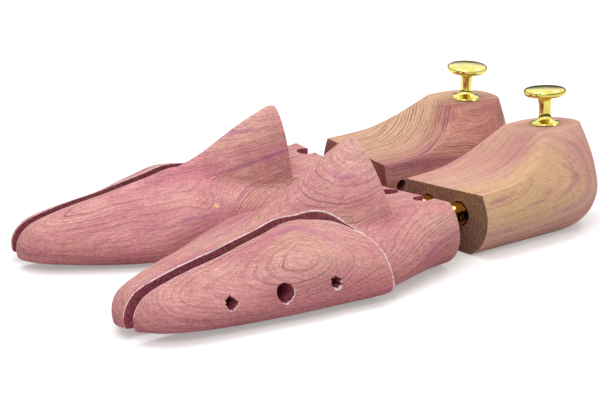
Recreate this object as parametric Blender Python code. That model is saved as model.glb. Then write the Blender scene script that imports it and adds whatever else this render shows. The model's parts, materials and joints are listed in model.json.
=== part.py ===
"""A pair of unfinished cedar shoe trees with a split toe, twin brass tubes and a brass knob.

Each tree is built in its own axes: +X runs from toe to heel, X = 0 is the flat rear end of the
toe block, Z = 0 is the sole and the sideways axis is measured from the line midway between the
tubes. The left tree has its outer (lateral) side at -Y, and the right tree is its mirror image.
Both are then stood on the ground side by side, +Z up, with all lengths in metres.
"""

import math

import bmesh
import bpy
from mathutils import Matrix, Vector

# Clearance between pieces that touch in the real tree
FIT = 0.0003
# How far a saw or a drill runs out past the wood
OVERRUN = 0.02

# Toe block: overall sizes
TOE_LENGTH = 0.1664
TOE_LATERAL = 0.0386
TOE_MEDIAL = 0.0393
RIDGE_HEIGHT = 0.0627
RIDGE_OFFSET = 0.0035
RIDGE_START = 0.3
SOLE_SPRING = 0.005

# Toe block: flat platform behind the ridge
PLATFORM_LENGTH = 0.032
PLATFORM_HEIGHT = 0.0304

# Cut that frees the wing: straight from the toe, then an arc out to the side
CUT_OFFSET = 0.0053
CUT_RADIUS = 0.0291
CUT_EXIT = 0.0514
# Width of the saw cut, and how far the springs then hold the wing off
SAW_CUT = 0.0016
WING_SPREAD = 0.0046
WING_GAP = SAW_CUT + WING_SPREAD
CUT_HAIRLINE = 0.00035
WING_LIFT = 0.0006

# Holes through the wing, measured forward from the rear end of the toe block
VENT_HEIGHT = 0.0125
VENT_PLACE = 0.1042
VENT_DIAMETER = 0.0085
SCREW_SPREAD = 0.0245
SCREW_HOLE_DIAMETER = 0.0056

# Wing screws and springs
WING_SHANK_DIAMETER = 0.0032
WING_HEAD_DIAMETER = 0.0046
WING_HEAD_HEIGHT = 0.0025
WING_SCREW_GRIP = 0.022
WING_WEB = 0.004
WING_SPRING_DIAMETER = 0.0064
WING_SPRING_WIRE = 0.0008
WING_SPRING_TURNS = 4
SPRING_POCKET = 0.006
SPRING_SEAT = 0.0015

# Twin tubes
TUBE_SPACING = 0.0215
TUBE_HEIGHT = 0.0185
TUBE_DIAMETER = 0.0108
TUBE_WALL = 0.0008
TUBE_IN_TOE = 0.046
TUBE_IN_HEEL = 0.042
HEEL_BORE_DIAMETER = 0.0121
HEEL_BORE_DEPTH = 0.075

# Screws that hold the tubes, each under a wide access hole in the platform
ACCESS_DIAMETER = 0.0095
MEDIAL_ACCESS_INSET = 0.0056
LATERAL_ACCESS_INSET = 0.0034
TUBE_SCREW_DIAMETER = 0.003
TUBE_SCREW_HEAD = 0.006
TUBE_SCREW_HEAD_HEIGHT = 0.002
TUBE_SCREW_FOOT = 0.005

# Heel block
HEEL_GAP = 0.020
HEEL_TRAVEL = 0.016
HEEL_LENGTH = 0.092
HEEL_HALF_WIDTH = 0.0298
HEEL_WIDEST_LEVEL = 0.019
HEEL_FRONT_HEIGHT = 0.0297
HEEL_HEIGHT = 0.0492
SADDLE_LENGTH = 0.0524
HEEL_REAR_START = 0.058

# Cross pin that runs in the slots of both tubes
PIN_PLACE = 0.009
PIN_DIAMETER = 0.0044
PIN_LATERAL_REACH = 0.0195
PIN_MEDIAL_REACH = 0.0175
PIN_ENTRY_DIAMETER = 0.0062
SLOT_CLEARANCE = 0.0003

# Springs between the tube ends and the bottoms of the heel bores
HEEL_SPRING_DIAMETER = 0.0110
HEEL_SPRING_WIRE = 0.0011
HEEL_SPRING_TURNS = 7

# Knob and the stud that holds it
KNOB_PLACE = 0.0704
KNOB_DIAMETER = 0.0213
KNOB_HEIGHT = 0.0188
KNOB_STEM_DIAMETER = 0.0058
KNOB_FLANGE_DIAMETER = 0.0155
STUD_DIAMETER = 0.004
STUD_DEPTH = 0.022
STUD_IN_KNOB = 0.009

# How the pair stands
PAIR_SPACING = 0.0835
PAIR_STAGGER = 0.0061
SPLAY = math.radians(3.3)
LEAN = math.radians(3.2)
LEAN_FADE = 0.020

# Outlines of the toe block as (share of its length from the toe, share of the full size)
LATERAL_PLAN = (
    (0.0, 0.117), (0.01, 0.263), (0.03, 0.375), (0.071, 0.525), (0.173, 0.657), (0.304, 0.762),
    (0.43, 0.846), (0.565, 0.907), (0.655, 0.962), (0.708, 0.99), (0.774, 0.968), (0.863, 0.876),
    (0.93, 0.818), (1.0, 0.80),
)
MEDIAL_PLAN = (
    (0.0, 0.08), (0.012, 0.175), (0.03, 0.275), (0.06, 0.375), (0.107, 0.485), (0.173, 0.64),
    (0.244, 0.785), (0.345, 0.93), (0.435, 0.985), (0.524, 1.0), (0.613, 0.975), (0.702, 0.93),
    (0.81, 0.87), (0.911, 0.84), (1.0, 0.815),
)
CREST_LINE = (
    (0.0, 0.195), (0.018, 0.268), (0.042, 0.318), (0.107, 0.378), (0.19, 0.436), (0.30, 0.50),
    (0.41, 0.561), (0.49, 0.62), (0.56, 0.69), (0.637, 0.80), (0.70, 0.89), (0.76, 0.965),
    (0.81, 1.0), (0.87, 0.90), (1.0, 0.60),
)
# Height of the broad base under the ridge, as a share of the ridge height
BASE_LINE = (
    (0.0, 0.195), (0.018, 0.268), (0.042, 0.318), (0.107, 0.378), (0.19, 0.436), (0.30, 0.49),
    (0.41, 0.535), (0.49, 0.579), (0.58, 0.554), (0.67, 0.494), (0.76, 0.46), (0.85, 0.525),
    (1.0, 0.563),
)
# Level of the widest line, as a share of the ridge height
WIDEST_LINE = ((0.0, 0.14), (0.22, 0.15), (0.5, 0.115), (0.67, 0.11), (0.81, 0.175), (1.0, 0.24))
# Roundness exponent of the base: 2 is an ellipse, more is boxier
FULLNESS = ((0.0, 2.05), (0.25, 1.52), (0.45, 2.18), (0.6, 1.92), (0.7, 2.04), (0.85, 1.76), (1.0, 3.0))
# Half widths of the ridge at its foot, as shares of the lateral and medial sizes
RIDGE_LATERAL = (
    (0.0, 0.01), (0.3, 0.14), (0.45, 0.63), (0.56, 0.637), (0.64, 0.757), (0.70, 0.869), (1.0, 0.77),
)
RIDGE_MEDIAL = ((0.0, 0.01), (0.3, 0.20), (0.45, 0.42), (0.56, 0.54), (0.7, 0.57), (1.0, 0.55))

# Saddle of the heel block as (share of its run, share of its rise)
SADDLE_LINE = (
    (0.0, 0.0), (0.19, 0.02), (0.38, 0.06), (0.48, 0.11), (0.57, 0.185), (0.67, 0.30), (0.765, 0.45),
    (0.86, 0.65), (0.955, 0.88), (1.0, 1.0),
)
# Rear of the heel block as (share of its height, share of its length)
HEEL_REAR_LINE = (
    (0.0, 0.85), (0.06, 0.905), (0.12, 0.94), (0.24, 0.98), (0.37, 1.0), (0.5, 1.005),
    (0.73, 0.995), (1.0, 0.965),
)

RIGHT_ANGLE = math.pi / 2


def curve(points, place):
    """Smooth value at a place of a line through (place, value) points."""
    last = len(points) - 2
    i = 0
    while i < last and place > points[i + 1][0]:
        i += 1
    x0, y0 = points[i]
    x1, y1 = points[i + 1]

    def slope(k):
        a = points[max(k - 1, 0)]
        b = points[min(k + 1, len(points) - 1)]
        return (b[1] - a[1]) / (b[0] - a[0])

    run = x1 - x0
    t = min(max((place - x0) / run, 0.0), 1.0)
    h00 = 2 * t ** 3 - 3 * t ** 2 + 1
    h10 = t ** 3 - 2 * t ** 2 + t
    h01 = -2 * t ** 3 + 3 * t ** 2
    h11 = t ** 3 - t ** 2
    return h00 * y0 + h10 * run * slope(i) + h01 * y1 + h11 * run * slope(i + 1)


def clear_scene():
    for item in list(bpy.data.objects):
        bpy.data.objects.remove(item, do_unlink=True)


def make_material(name, colour, metallic, roughness):
    material = bpy.data.materials.new(name)
    material.use_nodes = True
    shader = material.node_tree.nodes["Principled BSDF"]
    shader.inputs["Base Color"].default_value = (*colour, 1.0)
    shader.inputs["Metallic"].default_value = metallic
    shader.inputs["Roughness"].default_value = roughness
    return material


def make_object(name, bm, material, parent, side, smooth_angle=35.0):
    """Turns a mesh modelled for the left tree into the piece of one tree."""
    if side < 0:
        bmesh.ops.scale(bm, vec=Vector((1.0, -1.0, 1.0)), verts=bm.verts)
    bmesh.ops.recalc_face_normals(bm, faces=bm.faces)
    mesh = bpy.data.meshes.new(name)
    bm.to_mesh(mesh)
    bm.free()
    mesh.shade_smooth()
    mesh.set_sharp_from_angle(angle=math.radians(smooth_angle))
    piece = bpy.data.objects.new(name, mesh)
    bpy.context.scene.collection.objects.link(piece)
    if material:
        mesh.materials.append(material)
    piece.parent = parent
    return piece


def make_cutter(name, bm, parent, side):
    cutter = make_object(name, bm, None, parent, side)
    cutter.hide_render = True
    cutter.display_type = "WIRE"
    return cutter


def cut(piece, cutter, operation="DIFFERENCE"):
    modifier = piece.modifiers.new(cutter.name, "BOOLEAN")
    modifier.operation = operation
    modifier.solver = "EXACT"
    modifier.object = cutter


def make_empty(name, parent, location=(0.0, 0.0, 0.0)):
    empty = bpy.data.objects.new(name, None)
    bpy.context.scene.collection.objects.link(empty)
    empty.parent = parent
    empty.location = location
    return empty


def add_loop(bm, ring):
    verts = [bm.verts.new(point) for point in ring]
    return [bm.edges.new((verts[i], verts[(i + 1) % len(verts)])) for i in range(len(verts))]


def loft(rings):
    """Closed body through a row of rings with as many points each."""
    bm = bmesh.new()
    loops = [add_loop(bm, ring) for ring in rings]
    for first, second in zip(loops, loops[1:]):
        bmesh.ops.bridge_loops(bm, edges=first + second)
    bmesh.ops.contextual_create(bm, geom=loops[0])
    bmesh.ops.contextual_create(bm, geom=loops[-1])
    return bm


def rod(bm, start, end, radius, segments=20, end_radius=None):
    """Adds a closed round bar, or a cone, between two points."""
    start, end = Vector(start), Vector(end)
    axis = end - start
    turn = Vector((0.0, 0.0, 1.0)).rotation_difference(axis).to_matrix().to_4x4()
    bmesh.ops.create_cone(
        bm, cap_ends=True, segments=segments, radius1=radius,
        radius2=radius if end_radius is None else end_radius, depth=axis.length,
        matrix=Matrix.Translation((start + end) / 2) @ turn,
    )


def turned(profile, segments):
    """Closed body turned about Z from (radius, height) points; the first and last lie on the axis."""
    bm = bmesh.new()
    verts = [bm.verts.new((radius, 0.0, height)) for radius, height in profile]
    edges = [bm.edges.new(pair) for pair in zip(verts, verts[1:])]
    bmesh.ops.spin(
        bm, geom=verts + edges, cent=(0, 0, 0), axis=(0, 0, 1), angle=2 * math.pi,
        steps=segments, use_merge=True,
    )
    bmesh.ops.remove_doubles(bm, verts=bm.verts, dist=1e-6)
    return bm


def lean_rise(y):
    """Height of the ground over the tree's own level at a sideways place, because the tree leans."""
    return y * math.tan(LEAN)


def grounded(y, z):
    """Height of a point after the lowest part of the block is trued to the ground."""
    return z + lean_rise(y) * max(0.0, 1.0 - z / LEAN_FADE)


def side_points(half_width, height, bottom, widest, fullness, ridge, crest, ridge_power, ridge_root):
    """(sideways from the crest, height) points from the sole up to just under the crest."""
    shoulder = min(height, widest + 0.62 * (crest - widest))
    levels = [bottom + (widest - bottom) * (1 - math.cos(RIGHT_ANGLE * i / 4)) for i in range(4)]
    levels += [widest + (shoulder - widest) * math.sin(RIGHT_ANGLE * i / 6) for i in range(6)]
    levels += [shoulder + (crest - shoulder) * math.sin(RIGHT_ANGLE * i / 6) for i in range(6)]
    points = []
    for z in levels:
        if z < widest:
            under = (widest - z) / ((widest - bottom) * 1.12)
            points.append((half_width * (1 - under ** 2.6) ** (1 / 2.6), z))
            continue
        share = min((z - widest) / (height - widest), 1.0)
        base = half_width * (1 - share ** fullness) ** (1 / fullness)
        over = ridge * (1 - ((z - bottom) / (crest - bottom)) ** ridge_power) ** ridge_root
        points.append(((base ** 5 + over ** 5) ** 0.2, z))
    return points


def toe_section(share):
    """Ring of the whole toe block at a share of its length from the toe."""
    x = -TOE_LENGTH * (1 - share)
    crest = RIDGE_HEIGHT * curve(CREST_LINE, share)
    base = min(RIDGE_HEIGHT * curve(BASE_LINE, share), crest)
    widest = RIDGE_HEIGHT * curve(WIDEST_LINE, share)
    bottom = SOLE_SPRING * max(0.0, 1 - share / 0.36) ** 2
    full = curve(FULLNESS, share)
    offset = RIDGE_OFFSET * min(1.0, share / RIDGE_START)
    lateral = side_points(
        TOE_LATERAL * curve(LATERAL_PLAN, share) + offset, base, bottom, widest, full,
        TOE_LATERAL * curve(RIDGE_LATERAL, share), crest, 1.6, 0.72,
    )
    medial = side_points(
        TOE_MEDIAL * curve(MEDIAL_PLAN, share) - offset, base, bottom, widest, full,
        TOE_MEDIAL * curve(RIDGE_MEDIAL, share), crest, 2.0, 0.62,
    )
    outline = [(offset - y, z) for y, z in lateral]
    outline.append((offset, crest))
    outline += [(offset + y, z) for y, z in reversed(medial)]
    return [(x, y, grounded(y, z)) for y, z in outline]


def toe_body():
    """The toe block before it is cut up."""
    rings = []
    steps = 25
    for i in range(steps + 1):
        rings.append(toe_section((i / steps) ** 1.45))
    return loft(rings)


def wing_region(offset, shift, sole_lift=None):
    """Upright block round everything outside the cut, with a floor above the ground or well below."""
    far = TOE_LATERAL + 2 * OVERRUN
    front = -TOE_LENGTH - OVERRUN
    centre_x = -CUT_EXIT - CUT_RADIUS - shift
    centre_y = -offset - CUT_RADIUS
    outline = [(front, -offset)]
    steps = 14
    for i in range(steps + 1):
        angle = RIGHT_ANGLE * i / steps
        outline.append((centre_x + CUT_RADIUS * math.sin(angle), centre_y + CUT_RADIUS * math.cos(angle)))
    outline.append((centre_x + CUT_RADIUS, -far))
    outline.append((front, -far))
    bm = bmesh.new()
    if sole_lift is None:
        floor = [(x, y, -OVERRUN) for x, y in outline]
    else:
        floor = [(x, y, lean_rise(y) + sole_lift) for x, y in outline]
    edges = add_loop(bm, floor)
    face = bmesh.ops.contextual_create(bm, geom=edges)["faces"]
    grown = bmesh.ops.extrude_face_region(bm, geom=face)["geom"]
    top = [item for item in grown if isinstance(item, bmesh.types.BMVert)]
    bmesh.ops.translate(bm, vec=(0.0, 0.0, RIDGE_HEIGHT + 2 * OVERRUN), verts=top)
    return bm


def cut_face_y(x, offset, shift=0.0):
    """Sideways place of the cut at a place along the left tree."""
    centre_x = -CUT_EXIT - CUT_RADIUS - shift
    run = x - centre_x
    if run <= 0:
        return -offset
    return -offset - CUT_RADIUS + math.sqrt(CUT_RADIUS ** 2 - run ** 2)


def box(bm, low, high):
    """Adds a closed box between two corners."""
    low, high = Vector(low), Vector(high)
    size = high - low
    matrix = Matrix.Translation((low + high) / 2) @ Matrix.Diagonal((*size, 1.0))
    bmesh.ops.create_cube(bm, size=1.0, matrix=matrix)


def rod_cutter(name, parent, side, *args, **options):
    bm = bmesh.new()
    rod(bm, *args, **options)
    return make_cutter(name, bm, parent, side)


def spring(name, start, end, diameter, wire, turns, material, parent, side):
    """Coil spring between two points, an open helix with flat filled ends."""
    start, end = Vector(start), Vector(end)
    axis = (end - start).normalized()
    start = start + axis * wire / 2
    end = end - axis * wire / 2
    across = axis.orthogonal().normalized()
    other = axis.cross(across)
    radius = (diameter - wire) / 2
    per_turn = 8
    count = turns * per_turn
    data = bpy.data.curves.new(name, "CURVE")
    data.dimensions = "3D"
    data.bevel_depth = wire / 2
    data.bevel_resolution = 1
    data.render_resolution_u = 0
    data.use_fill_caps = True
    line = data.splines.new("POLY")
    line.points.add(count)
    for i in range(count + 1):
        angle = 2 * math.pi * i / per_turn
        offset = across * math.cos(angle) + other * math.sin(angle)
        point = start.lerp(end, i / count) + offset * radius
        line.points[i].co = (point.x, point.y * side, point.z, 1.0)
    data.materials.append(material)
    coil = bpy.data.objects.new(name, data)
    bpy.context.scene.collection.objects.link(coil)
    coil.parent = parent
    return coil


def toe_pieces(prefix, tree, side, mats):
    """Toe block and its wing."""
    block = make_object(prefix + "toe_block", toe_body(), mats["cedar"], tree, side)
    sprung = toe_body()
    bmesh.ops.translate(sprung, vec=(0.0, -WING_SPREAD, 0.0), verts=sprung.verts)
    wing = make_object(prefix + "toe_wing", sprung, mats["cedar"], tree, side)
    region = wing_region(CUT_OFFSET, 0.0)
    cut(block, make_cutter(prefix + "cut_block_side", region, tree, side))
    region = wing_region(CUT_OFFSET + WING_GAP, CUT_HAIRLINE, WING_LIFT)
    cut(wing, make_cutter(prefix + "cut_wing_side", region, tree, side), "INTERSECT")
    bm = bmesh.new()
    far = 2 * TOE_LATERAL
    box(bm, (-PLATFORM_LENGTH, -far, PLATFORM_HEIGHT), (OVERRUN, far, 2 * RIDGE_HEIGHT))
    cut(block, make_cutter(prefix + "cut_platform", bm, tree, side))
    return block, wing


def tube_pieces(prefix, tree, side, mats, block):
    """Twin tubes with their holding screws, and the holes for them in the toe block."""
    radius = TUBE_DIAMETER / 2
    slot_end = HEEL_GAP + PIN_PLACE + PIN_DIAMETER / 2 + SLOT_CLEARANCE
    slot_start = slot_end - HEEL_TRAVEL - PIN_DIAMETER - 2 * SLOT_CLEARANCE
    places = (("lateral", -1, LATERAL_ACCESS_INSET), ("medial", 1, MEDIAL_ACCESS_INSET))
    for label, sign, inset in places:
        y = sign * TUBE_SPACING / 2
        front = (-TUBE_IN_TOE, y, TUBE_HEIGHT)
        rear = (HEEL_GAP + TUBE_IN_HEEL, y, TUBE_HEIGHT)
        bm = bmesh.new()
        rod(bm, front, rear, radius, 24)
        tube = make_object(prefix + "tube_" + label, bm, mats["brass_tube"], tree, side)
        reach = Vector((OVERRUN, 0.0, 0.0))
        cut(tube, rod_cutter(
            prefix + "cut_tube_bore_" + label, tree, side,
            Vector(front) - reach, Vector(rear) + reach, radius - TUBE_WALL, segments=24,
        ))
        slot_half = PIN_DIAMETER / 2 + SLOT_CLEARANCE
        bm = bmesh.new()
        box(
            bm, (slot_start, y - 2 * radius, TUBE_HEIGHT - slot_half),
            (slot_end, y + 2 * radius, TUBE_HEIGHT + slot_half),
        )
        cut(tube, make_cutter(prefix + "cut_tube_slot_" + label, bm, tree, side))
        screw_hole = TUBE_SCREW_DIAMETER / 2 + FIT
        low = (-inset, y, TUBE_SCREW_FOOT - FIT)
        top = (-inset, y, PLATFORM_HEIGHT + OVERRUN)
        pilot = rod_cutter(
            prefix + "cut_tube_screw_" + label, tree, side, low, top, screw_hole, segments=12,
        )
        cut(tube, pilot)
        cut(block, rod_cutter(
            prefix + "cut_toe_bore_" + label, tree, side, (-TUBE_IN_TOE - FIT, y, TUBE_HEIGHT),
            (OVERRUN, y, TUBE_HEIGHT), radius + FIT, segments=24,
        ))
        cut(block, pilot)
        cut(block, rod_cutter(
            prefix + "cut_access_" + label, tree, side, (-inset, y, TUBE_HEIGHT), top,
            ACCESS_DIAMETER / 2, segments=20,
        ))
        seat = TUBE_HEIGHT + radius + FIT
        half = TUBE_SCREW_DIAMETER / 2
        profile = (
            (0.0, TUBE_SCREW_FOOT), (half, TUBE_SCREW_FOOT), (half, seat),
            (TUBE_SCREW_HEAD / 2, seat), (TUBE_SCREW_HEAD / 2, seat + TUBE_SCREW_HEAD_HEIGHT * 0.5),
            (half, seat + TUBE_SCREW_HEAD_HEIGHT), (0.0, seat + TUBE_SCREW_HEAD_HEIGHT),
        )
        screw = turned(profile, 12)
        bmesh.ops.translate(screw, vec=(-inset, y, 0.0), verts=screw.verts)
        make_object(prefix + "tube_screw_" + label, screw, mats["steel"], tree, side)


def hole_point(x, y):
    """A point on the line of one of the holes through the wing."""
    return (x, y, VENT_HEIGHT)


def wing_screw_pieces(prefix, tree, side, mats, block, wing):
    """Shoulder screws that guide the wing, their springs and their holes, and the middle vent."""
    out = -2 * TOE_LATERAL
    for label, x in (("front", -VENT_PLACE - SCREW_SPREAD), ("rear", -VENT_PLACE + SCREW_SPREAD)):
        block_face = cut_face_y(x, CUT_OFFSET)
        wing_face = cut_face_y(x, CUT_OFFSET + WING_GAP, CUT_HAIRLINE)
        pocket_floor = block_face + SPRING_POCKET
        seat_floor = wing_face - SPRING_SEAT
        web_outer = seat_floor - WING_WEB
        tip = pocket_floor + WING_SCREW_GRIP
        pocket = WING_SPRING_DIAMETER / 2 + FIT
        shank = WING_SHANK_DIAMETER / 2
        before_block = hole_point(x, block_face - OVERRUN)
        behind_wing = hole_point(x, wing_face + OVERRUN)
        cut(block, rod_cutter(
            prefix + "cut_spring_pocket_" + label, tree, side,
            hole_point(x, pocket_floor), before_block, pocket, segments=16,
        ))
        cut(block, rod_cutter(
            prefix + "cut_wing_pilot_" + label, tree, side,
            hole_point(x, tip + FIT), before_block, shank + FIT, segments=12,
        ))
        cut(wing, rod_cutter(
            prefix + "cut_spring_seat_" + label, tree, side,
            behind_wing, hole_point(x, seat_floor), pocket, segments=16,
        ))
        cut(wing, rod_cutter(
            prefix + "cut_wing_shank_" + label, tree, side,
            behind_wing, hole_point(x, out), shank + FIT, segments=12,
        ))
        cut(wing, rod_cutter(
            prefix + "cut_wing_head_" + label, tree, side,
            hole_point(x, web_outer), hole_point(x, out), SCREW_HOLE_DIAMETER / 2, segments=16,
        ))
        head = WING_HEAD_DIAMETER / 2
        grip = tip - web_outer + FIT
        bm = turned((
            (0.0, 0.0), (shank, 0.0), (shank, grip), (head, grip), (head, grip + WING_HEAD_HEIGHT),
            (0.0, grip + WING_HEAD_HEIGHT),
        ), 12)
        turn = Matrix.Rotation(RIGHT_ANGLE, 3, "X")
        bmesh.ops.rotate(bm, cent=(0, 0, 0), matrix=turn, verts=bm.verts)
        bmesh.ops.translate(bm, vec=hole_point(x, tip), verts=bm.verts)
        make_object(prefix + "wing_screw_" + label, bm, mats["steel"], tree, side)
        spring(
            prefix + "wing_spring_" + label, hole_point(x, pocket_floor - FIT),
            hole_point(x, seat_floor + FIT), WING_SPRING_DIAMETER, WING_SPRING_WIRE,
            WING_SPRING_TURNS, mats["spring_steel"], tree, side,
        )
    cut(wing, rod_cutter(
        prefix + "cut_vent", tree, side, hole_point(-VENT_PLACE, 0.0), hole_point(-VENT_PLACE, out),
        VENT_DIAMETER / 2, segments=20,
    ))


def heel_half_width(level, run):
    """Half width of the heel block at a height and a place behind its front face."""
    growth = 1 + 0.05 * min(run / HEEL_REAR_START, 1.0)
    widest = HEEL_HALF_WIDTH * growth
    if level <= HEEL_WIDEST_LEVEL:
        under = (HEEL_WIDEST_LEVEL - level) / (HEEL_WIDEST_LEVEL * 1.16)
        return widest * (1 - under ** 2.2) ** (1 / 2.2)
    rise = HEEL_HEIGHT - HEEL_WIDEST_LEVEL
    reach = rise * (1.34 + 0.18 * min(max(run / SADDLE_LENGTH - 1.0, 0.0) / 0.4, 1.0))
    return widest * (1 - ((level - HEEL_WIDEST_LEVEL) / reach) ** 1.4) ** (1 / 1.4)


def heel_slice(front, level):
    """Ring of the heel block at one height, from a front edge back round the heel."""
    rear = HEEL_LENGTH * curve(HEEL_REAR_LINE, level / HEEL_HEIGHT)
    start = HEEL_REAR_START
    half = []
    side_steps = 5
    for i in range(side_steps):
        run = front + (start - front) * i / side_steps
        half.append((run, heel_half_width(level, run)))
    round_steps = 9
    for i in range(round_steps):
        angle = RIGHT_ANGLE * i / round_steps
        run = start + (rear - start) * math.sin(angle) ** 0.9
        half.append((run, heel_half_width(level, run) * math.cos(angle) ** 0.82))
    across = 4
    ring = [(run, -y) for run, y in half] + [(rear, 0.0)] + [(run, y) for run, y in reversed(half)]
    width = half[0][1]
    for i in range(1, across):
        ring.append((front, width - 2 * width * i / across))
    return [(x, y, grounded(y, level)) for x, y in ring]


def heel_body():
    levels = [0.0, 0.02, 0.06, 0.13, 0.22, 0.32, 0.43, 0.52]
    rings = [heel_slice(0.0, HEEL_HEIGHT * share) for share in levels]
    steps = 12
    for i in range(steps + 1):
        share = (i / steps) ** 0.8
        level = HEEL_FRONT_HEIGHT + (HEEL_HEIGHT - HEEL_FRONT_HEIGHT) * curve(SADDLE_LINE, share)
        rings.append(heel_slice(SADDLE_LENGTH * share, level))
    return loft(rings)


def heel_pieces(prefix, heel, side, mats):
    """Heel block, cross pin, springs, knob and stud, in axes whose X = 0 is the heel's front face."""
    block = make_object(prefix + "heel_block", heel_body(), mats["cedar_light"], heel, side)
    for label, sign in (("lateral", -1), ("medial", 1)):
        y = sign * TUBE_SPACING / 2
        cut(block, rod_cutter(
            prefix + "cut_heel_bore_" + label, heel, side, (-OVERRUN, y, TUBE_HEIGHT),
            (HEEL_BORE_DEPTH, y, TUBE_HEIGHT), HEEL_BORE_DIAMETER / 2, segments=24,
        ))
        spring(
            prefix + "heel_spring_" + label, (TUBE_IN_HEEL + FIT, y, TUBE_HEIGHT),
            (HEEL_BORE_DEPTH - FIT, y, TUBE_HEIGHT), HEEL_SPRING_DIAMETER, HEEL_SPRING_WIRE,
            HEEL_SPRING_TURNS, mats["spring_steel"], heel, side,
        )
    pin_radius = PIN_DIAMETER / 2
    pin_start = (PIN_PLACE, -PIN_LATERAL_REACH, TUBE_HEIGHT)
    pin_end = (PIN_PLACE, PIN_MEDIAL_REACH, TUBE_HEIGHT)
    bm = bmesh.new()
    rod(bm, pin_start, pin_end, pin_radius, 16)
    make_object(prefix + "heel_cross_pin", bm, mats["steel"], heel, side)
    clear = Vector((0.0, FIT, 0.0))
    cut(block, rod_cutter(
        prefix + "cut_pin_hole", heel, side, Vector(pin_start) - clear, pin_end,
        pin_radius + FIT, segments=16,
    ))
    cut(block, rod_cutter(
        prefix + "cut_pin_entry", heel, side, Vector(pin_end) - clear,
        (PIN_PLACE, 2 * HEEL_HALF_WIDTH, TUBE_HEIGHT), PIN_ENTRY_DIAMETER / 2, segments=20,
    ))
    stud_radius = STUD_DIAMETER / 2
    stud_foot = (KNOB_PLACE, 0.0, HEEL_HEIGHT - STUD_DEPTH)
    stud_head = (KNOB_PLACE, 0.0, HEEL_HEIGHT + STUD_IN_KNOB)
    clear = Vector((0.0, 0.0, FIT))
    bm = bmesh.new()
    rod(bm, stud_foot, stud_head, stud_radius, 16)
    make_object(prefix + "knob_stud", bm, mats["steel"], heel, side)
    cut(block, rod_cutter(
        prefix + "cut_stud_hole", heel, side, Vector(stud_foot) - clear, stud_head,
        stud_radius + FIT, segments=16,
    ))
    knob = make_knob(prefix, heel, side, mats)
    cut(knob, rod_cutter(
        prefix + "cut_knob_bore", heel, side, (KNOB_PLACE, 0.0, HEEL_HEIGHT - OVERRUN),
        Vector(stud_head) + clear, stud_radius + FIT, segments=16,
    ))


def make_knob(prefix, heel, side, mats):
    """Turned knob: trumpet base, waisted stem, collar and a lens-shaped disc."""
    disc = KNOB_DIAMETER / 2
    stem = KNOB_STEM_DIAMETER / 2
    flange = KNOB_FLANGE_DIAMETER / 2
    height = KNOB_HEIGHT
    profile = (
        (0.0, 0.0), (flange * 0.96, 0.0), (flange, height * 0.035), (flange * 0.93, height * 0.07),
        (flange * 0.70, height * 0.11), (stem * 1.30, height * 0.19), (stem * 1.04, height * 0.29),
        (stem * 0.98, height * 0.42), (stem * 1.06, height * 0.60), (stem * 1.36, height * 0.64),
        (stem * 1.40, height * 0.68), (stem * 1.28, height * 0.715), (disc * 0.55, height * 0.755),
        (disc * 0.93, height * 0.81), (disc, height * 0.865), (disc * 0.965, height * 0.915),
        (disc * 0.75, height * 0.965), (disc * 0.4, height * 0.99), (0.0, height),
    )
    bm = turned(profile, 24)
    bmesh.ops.translate(bm, vec=(KNOB_PLACE, 0.0, HEEL_HEIGHT + FIT), verts=bm.verts)
    return make_object(prefix + "heel_knob", bm, mats["brass"], heel, side, 60.0)


def make_tree(prefix, pair, side, mats):
    tree = make_empty(prefix + "tree", pair, (side * -PAIR_STAGGER / 2, side * -PAIR_SPACING / 2, 0.0))
    turn = Matrix.Rotation(side * SPLAY, 3, "Z") @ Matrix.Rotation(side * -LEAN, 3, "X")
    tree.rotation_euler = turn.to_euler()
    block, wing = toe_pieces(prefix, tree, side, mats)
    tube_pieces(prefix, tree, side, mats, block)
    wing_screw_pieces(prefix, tree, side, mats, block, wing)
    heel = make_empty(prefix + "heel", tree, (HEEL_GAP, 0.0, 0.0))
    heel_pieces(prefix, heel, side, mats)


def centre_on_ground(pair):
    """Moves the pair so that the middle of its bounding box's underside is the origin."""
    graph = bpy.context.evaluated_depsgraph_get()
    low = Vector((math.inf,) * 3)
    high = Vector((-math.inf,) * 3)
    for item in bpy.context.scene.objects:
        if item.type == "EMPTY" or item.hide_render:
            continue
        shown = item.evaluated_get(graph)
        mesh = shown.to_mesh()
        for vert in mesh.vertices:
            place = shown.matrix_world @ vert.co
            low = Vector(map(min, low, place))
            high = Vector(map(max, high, place))
        shown.to_mesh_clear()
    pair.location = (-(low.x + high.x) / 2, -(low.y + high.y) / 2, -low.z)


clear_scene()
materials = {
    "cedar": make_material("cedar", (0.62, 0.33, 0.29), 0.0, 0.6),
    "cedar_light": make_material("cedar_light", (0.70, 0.47, 0.33), 0.0, 0.6),
    "brass": make_material("brass", (0.86, 0.68, 0.22), 1.0, 0.12),
    "brass_tube": make_material("brass_tube", (0.84, 0.60, 0.20), 1.0, 0.15),
    "steel": make_material("steel", (0.45, 0.44, 0.43), 1.0, 0.35),
    "spring_steel": make_material("spring_steel", (0.35, 0.35, 0.36), 1.0, 0.30),
}
pair_frame = make_empty("pair", None)
make_tree("left_", pair_frame, 1, materials)
make_tree("right_", pair_frame, -1, materials)
centre_on_ground(pair_frame)
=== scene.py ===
import json
import math

import bmesh
import bpy
from mathutils import Matrix, Vector, noise


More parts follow.
